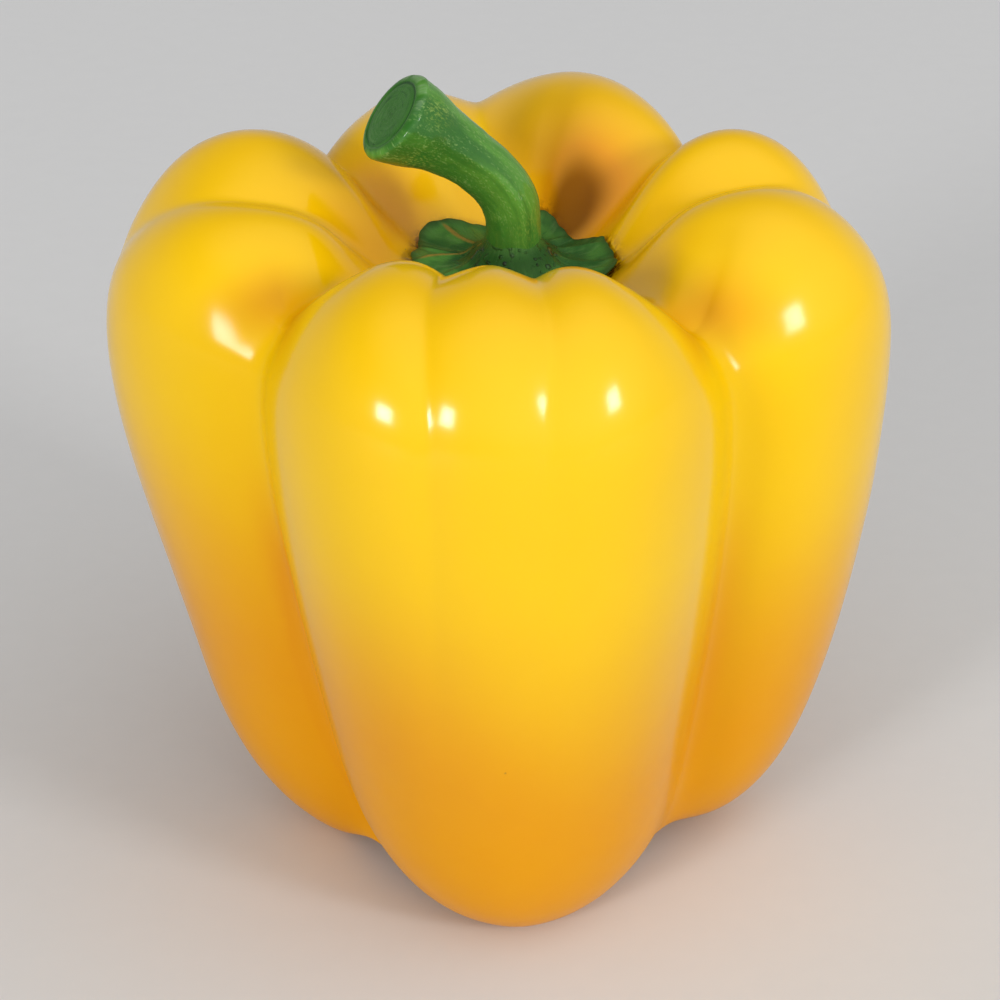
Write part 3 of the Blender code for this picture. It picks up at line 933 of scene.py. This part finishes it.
def make_skin(settings):
    azimuth = np.arange(settings.columns) * 360 / settings.columns
    stations = profile_rows(settings.rows)[1:-1]
    columns, rows = np.meshgrid(azimuth, stations)
    radius, height, deep, shallow = fruit_surface(columns, rows)
    angle = np.radians(columns)
    rings = np.stack([radius * np.sin(angle), -radius * np.cos(angle), height], axis=-1)
    well = eased((0, 2.2, 3.4, 4.6, 17), (1, 1, 0.55, 0, 0), np.ravel(rows)).reshape(rows.shape)
    resting = np.clip(height / RESTING_HEIGHT, 0, 1) ** 2
    first = (0.0, 0.0, PROFILE[0][1])
    last = (0.0, 0.0, PROFILE[-1][1])
    aside = rings[..., :2] - CALYX
    points, radii, _ = zip(*RIM)
    rim = around(points, radii, np.degrees(np.arctan2(aside[..., 0], -aside[..., 1])).ravel())
    gap = np.clip(np.hypot(aside[..., 0], aside[..., 1]) - rim.reshape(rows.shape), 0, None)
    # Orange tones of the well and the stalk's painted brown shadow
    blush = np.zeros_like(rows)
    for where, station, spread, reach, strength in WELL_ORANGE_AND_STALK_SHADOW:
        turn = ((columns - where + 180) % 360 - 180) / spread
        blush += strength * np.exp(-turn ** 2 - ((rows - station) / reach) ** 2)
    speck_share = np.exp(-((rows - SPECK_STATION) / SPECK_SPREAD) ** 2)
    marks = {
        "groove": (0.0, (deep + CREASE_WEIGHT * shallow) * MM, 0.0),
        "well": (1.0, well, 0.0),
        "blush": (0.0, blush, 0.0),
        "hem": (0.0, np.exp(-(gap / HEM_WIDTH) ** 2) * (rows < 5), 0.0),
        "relief": (1.0, resting * np.where(rows < 3, 0.3, 1.0), 1.0),
        "flecks": (0.0, 0.02 + 0.98 * speck_share, 0.0),
    }
    skin = ring_mesh("fruit_skin", first, rings, last, marks)
    return roughen(skin, settings.dent_height, settings.dent_size, 3.0, skin_finish(settings))


def calyx_rings():
    """Rings of the calyx from its collar out and back underneath, with its marks and grain."""
    azimuth = np.arange(CALYX_COLUMNS) * 360 / CALYX_COLUMNS
    turn = np.radians(azimuth)
    points, radii, lifts = zip(*RIM)
    nicks = 0.10 * np.sin(11 * turn + 0.6) + 0.07 * np.sin(23 * turn + 2.1)
    edge = around(points, radii, azimuth) + (nicks + 0.05 * np.sin(41 * turn))
    edge_lift = around(points, lifts, azimuth)
    inner = COLLAR[0][0]
    flat = np.linspace(0, EDGE_START, CALYX_TOP_RINGS - EDGE_RINGS, endpoint=False)
    bend = np.sin(np.linspace(0, pi / 2, EDGE_RINGS))
    part = np.concatenate([flat, EDGE_START + EDGE_PART * bend])[:, None]
    radius = inner + (edge - inner) * part
    blend = np.clip((radius - 4.0) / 5.0, 0, 1)
    x = STALK_LINE[0][0] * (1 - blend) + CALYX[0] * blend + radius * np.sin(turn)
    y = STALK_LINE[0][1] * (1 - blend) + CALYX[1] * blend - radius * np.cos(turn)
    past_start = np.clip(part - EDGE_START, 0, None) / EDGE_PART
    rounded = np.sqrt(np.clip(1 - past_start ** 2, 0, 1))
    thick = (LEAF_THICKNESS - LEAF_THINNING * part**2) * (0.45 + 0.55 * rounded)
    leaf = well_floor(x, y) + CALYX_GAP + edge_lift * part**2 + thick
    leaf = leaf - 0.12 * np.clip(part * 2, 0, 1)
    tan = np.zeros_like(radius)
    fade = np.clip((radius - 3.6) / 2.0, 0, 1) * np.clip((1 - part) / 0.2, 0, 1)
    for vein in VEINS:
        line = vein.start + (vein.end - vein.start) * part**0.8
        aside = np.radians(np.abs((azimuth - line + 180) % 360 - 180)) * radius
        leaf = leaf + vein.height * np.exp(-(aside / vein.width) ** 2) * fade
        tan = np.maximum(tan, vein.tan * np.exp(-(aside / (0.55 * vein.width)) ** 2) * fade)
    share = np.clip((radius - COLLAR_END) / COLLAR_FADE, 0, 1)
    share = share**2 * (3 - 2 * share)
    height = np.interp(radius, *zip(*COLLAR)) * (1 - share) + leaf * share
    under = np.linspace(0.985, 0.08, CALYX_UNDER_RINGS)[:, None]
    x_under = CALYX[0] + edge * under * np.sin(turn)
    y_under = CALYX[1] - edge * under * np.cos(turn)
    height_under = well_floor(x_under, y_under) + CALYX_GAP + edge_lift * under**2
    rings = np.concatenate([
        np.stack([x, y, height], axis=-1),
        np.stack([x_under, y_under, height_under], axis=-1),
    ])
    marks = {
        "vein": tan,
        "rim": np.clip((part - 0.88) / 0.1, 0, 1) + 0 * radius,
        "wet": np.exp(-((radius - BEAD_AND_SHADE_RADIUS) / BEAD_AND_SHADE_SPREAD) ** 2),
        "relief": np.clip((radius - 3.4) / 1.5, 0, 1),
    }
    for name, values in marks.items():
        underneath = np.full(height_under.shape, 1.0 if name == "rim" else 0.0)
        marks[name] = np.concatenate([values, underneath])
    # The brush lines fan out over the top
    round_leaf = FAN_WIDTH * MM
    fan = np.broadcast_arrays(np.sin(turn) * round_leaf, np.cos(turn) * round_leaf, radius * MM)
    return rings, marks, np.stack(fan, axis=-1).reshape(-1, 3)


def make_calyx(settings):
    rings, marks, grain = calyx_rings()
    first = (*STALK_LINE[0][:2], COLLAR[0][1])
    under = well_floor(CALYX[:1], CALYX[1:2])[0] + CALYX_GAP
    marks = {name: (0.0, values, 0.0) for name, values in marks.items()}
    calyx = ring_mesh("calyx_leaf", first, rings, (*CALYX, under), marks)
    vectors = np.zeros((len(calyx.data.vertices), 3))
    vectors[1:1 + len(grain)] = grain
    layer = calyx.data.attributes.new("grain", "FLOAT_VECTOR", "POINT")
    layer.data.foreach_set("vector", vectors.ravel().astype("f"))
    green = calyx_finish(settings)
    return roughen(calyx, settings.relief_height, settings.relief_size, 8.0, green)


def make_stalk(settings):
    spans = len(STALK_LINE) - 1
    fine = np.linspace(0, spans, 2000)
    line = smooth_line(STALK_LINE, fine)
    run = np.concatenate([[0], np.cumsum(np.linalg.norm(np.diff(line, axis=0), axis=1))])
    count = int(run[-1] * MM / settings.stalk_step)
    position = np.interp(np.linspace(0, run[-1], count), run, fine)
    centres = smooth_line(STALK_LINE, position)
    size = eased(range(spans + 1), STALK_RADIUS, position)
    lean = CUT_LEAN * np.clip(1 - (spans - position), 0, 1) ** 2
    forward = centres[-1] - centres[-2]
    forward = forward / np.linalg.norm(forward)
    end = len(CUT_END)
    steps = np.array([step for _, step, _ in CUT_END])
    shares = np.array([share for share, _, _ in CUT_END])
    marks = {
        "size": np.concatenate([size, STALK_RADIUS[-1] * shares]) * MM,
        "lean": np.concatenate([lean, np.full(end, CUT_LEAN)]),
        "dish": np.concatenate([np.zeros(count), [dish for _, _, dish in CUT_END]]) * MM,
        "cut": np.concatenate([np.zeros(count), np.clip((steps - 0.3) / 0.2, 0, 1)]),
        "part": np.concatenate([np.ones(count), shares]),
        "relief": np.concatenate([np.ones(count), 0.5 * shares]),
    }
    path = np.concatenate([centres, centres[-1] + forward * steps[:, None]]) + AXIS
    data = bpy.data.meshes.new("stalk_stem")
    data.from_pydata((path * MM).tolist(), [(i, i + 1) for i in range(len(path) - 1)], [])
    for mark, values in marks.items():
        add_mark(data, mark, values)
    values = {
        "Sides": settings.stalk_sides,
        "Ridges": float(settings.ridges),
        "Ridge Height": settings.ridge_height,
        "Relief Height": settings.relief_height,
        "Relief Size": settings.relief_size,
        "Girth": 0.0036,
        "Seed": 5.0,
        "Material": stalk_finish(settings),
    }
    return run_tree(show("stalk_stem", data), stalk_tree(), values)


def make_specks(settings, surface):
    specks = show("skin_specks", surface.data.copy())
    specks.data.name = "skin_specks"
    values = {
        "Per Square Metre": settings.specks,
        "Size": settings.speck_size,
        "Flatness": 0.25,
        "Seed": 11,
        "Material": speck_finish(settings),
    }
    return run_tree(specks, fleck_tree(), values)


def make_scar(settings):
    turn = np.radians(np.arange(SCAR_COLUMNS) * 360 / SCAR_COLUMNS)
    blossom_end = PROFILE[-1][1]
    rings = []
    for part, step in SCAR_RINGS:
        uneven = 1 + 0.10 * np.sin(5 * turn + 0.4) + 0.04 * np.sin(13 * turn)
        reach = SCAR_RADIUS * part * uneven
        height = blossom_end + step + 0.08 * np.sin(15 * turn) * part * (step < 0)
        rings.append(np.stack([reach * np.sin(turn), -reach * np.cos(turn), height], axis=-1))
    first, last = ((0.0, 0.0, blossom_end + step) for step in (SCAR_TOP, SCAR_FOOT))
    scar = ring_mesh("blossom_scar", first, np.array(rings), last, {})
    scar.data.materials.append(scar_finish(settings))
    return scar


def aim(azimuth, height):
    """Direction with an azimuth and a height over level, in degrees."""
    side, up = radians(azimuth), radians(height)
    return Vector((sin(side) * cos(up), -cos(side) * cos(up), sin(up)))


def place_softbox(name, azimuth, height, power):
    light = bpy.data.lights.new(name, "AREA")
    light.shape = "SQUARE"
    light.size = SOFTBOX_WIDTH
    light.energy = power
    item = show(name, light)
    item.location = SOFTBOX_AIM + SOFTBOX_DISTANCE * aim(azimuth, height)
    item.rotation_euler = (SOFTBOX_AIM - item.location).to_track_quat("-Z", "Y").to_euler()


def make_room(settings):
    """A pale room, brighter low down and in a wide soft patch overhead on the right."""
    world = bpy.data.worlds.new("room")
    world.use_nodes = True
    room = Graph(world.node_tree)
    direction = room.node("ShaderNodeTexCoord", output="Generated")
    upward = room.vector("DOT_PRODUCT", direction, (0, 0, 1))
    towards = room.vector("DOT_PRODUCT", direction, tuple(aim(PATCH_AZIMUTH, PATCH_HEIGHT)))
    wall = upward.from_to(0.15, 0.75, settings.low_light, settings.high_light)
    patch = towards.from_to(0.3, 1.0, 0.0, settings.patch_light)
    background = world.node_tree.nodes["Background"]
    room.feed(background.inputs["Color"], (1, 1, 1, 1))
    room.feed(background.inputs["Strength"], wall + patch)
    return world


def make_stage(settings):
    scene = bpy.context.scene
    scene.view_settings.view_transform = "Standard"
    target = (Vector(CAMERA_TARGET) + Vector(AXIS)) * MM
    drop = radians(CAMERA_DROP)
    camera = show("camera", bpy.data.cameras.new("camera"))
    camera.location = target + CAMERA_DISTANCE * MM * Vector((0, -cos(drop), sin(drop)))
    camera.rotation_euler = (pi / 2 - drop, 0, 0)
    camera.data.lens = settings.lens
    camera.data.sensor_width = SENSOR_WIDTH
    scene.camera = camera
    half = settings.floor_size / 2
    corners = [(-half, -half, 0), (half, -half, 0), (half, half, 0), (-half, half, 0)]
    data = bpy.data.meshes.new("floor")
    data.from_pydata(corners, [], [(0, 1, 2, 3)])
    data.materials.append(floor_finish(settings))
    show("floor", data)
    for name, azimuth, height, power in SOFTBOXES:
        place_softbox(name, azimuth, height, getattr(settings, power))
    scene.world = make_room(settings)


def settle(piece, node):
    """The piece rides with the pepper and stands for its CAD node if any."""
    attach(piece, "root")
    if node:
        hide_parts(node)


class PEPPER_OT_skin(bpy.types.Operator):
    """Build the fruit's skin with its specks and the blossom scar"""

    bl_idname = "pepper.skin"
    bl_label = "Fruit skin"

    def execute(self, context):
        settings = context.scene.pepper_skin
        skin = make_skin(settings)
        specks = make_specks(settings, skin)
        settle(skin, "fruit")
        settle(specks, None)
        settle(make_scar(settings), None)
        return {"FINISHED"}


class PEPPER_OT_calyx(bpy.types.Operator):
    """Build the calyx in the stem well"""

    bl_idname = "pepper.calyx"
    bl_label = "Calyx"

    def execute(self, context):
        settle(make_calyx(context.scene.pepper_greens), "calyx")
        return {"FINISHED"}


class PEPPER_OT_stalk(bpy.types.Operator):
    """Build the bent stalk with its cut end"""

    bl_idname = "pepper.stalk"
    bl_label = "Stalk"

    def execute(self, context):
        settle(make_stalk(context.scene.pepper_greens), "stalk")
        return {"FINISHED"}


class PEPPER_OT_stage(bpy.types.Operator):
    """Set up the floor, camera and lights"""

    bl_idname = "pepper.stage"
    bl_label = "Stage"

    def execute(self, context):
        make_stage(context.scene.pepper_stage)
        return {"FINISHED"}


class PEPPER_PT_panel(bpy.types.Panel):
    """Sizes, colours and build steps of the pepper"""

    bl_idname = "PEPPER_PT_panel"
    bl_label = "Bell pepper"
    bl_space_type = "VIEW_3D"
    bl_region_type = "UI"
    bl_category = "Pepper"

    def draw(self, context):
        scene = context.scene
        for settings in (scene.pepper_skin, scene.pepper_greens, scene.pepper_stage):
            column = self.layout.column(align=True)
            for name in settings.__annotations__:
                column.prop(settings, name)
        for step in STEPS:
            self.layout.operator(step.bl_idname)


STEPS = (PEPPER_OT_stage, PEPPER_OT_skin, PEPPER_OT_calyx, PEPPER_OT_stalk)
CLASSES = (SkinSettings, GreenSettings, StageSettings, *STEPS, PEPPER_PT_panel)


def register():
    for item in CLASSES:
        bpy.utils.register_class(item)
    bpy.types.Scene.pepper_skin = PointerProperty(type=SkinSettings)
    bpy.types.Scene.pepper_greens = PointerProperty(type=GreenSettings)
    bpy.types.Scene.pepper_stage = PointerProperty(type=StageSettings)


def unregister():
    del bpy.types.Scene.pepper_stage
    del bpy.types.Scene.pepper_greens
    del bpy.types.Scene.pepper_skin
    for item in reversed(CLASSES):
        bpy.utils.unregister_class(item)


def main():
    register()
    bpy.ops.pepper.stage()
    bpy.ops.pepper.skin()
    bpy.ops.pepper.calyx()
    bpy.ops.pepper.stalk()


if __name__ == "__main__":
    main()
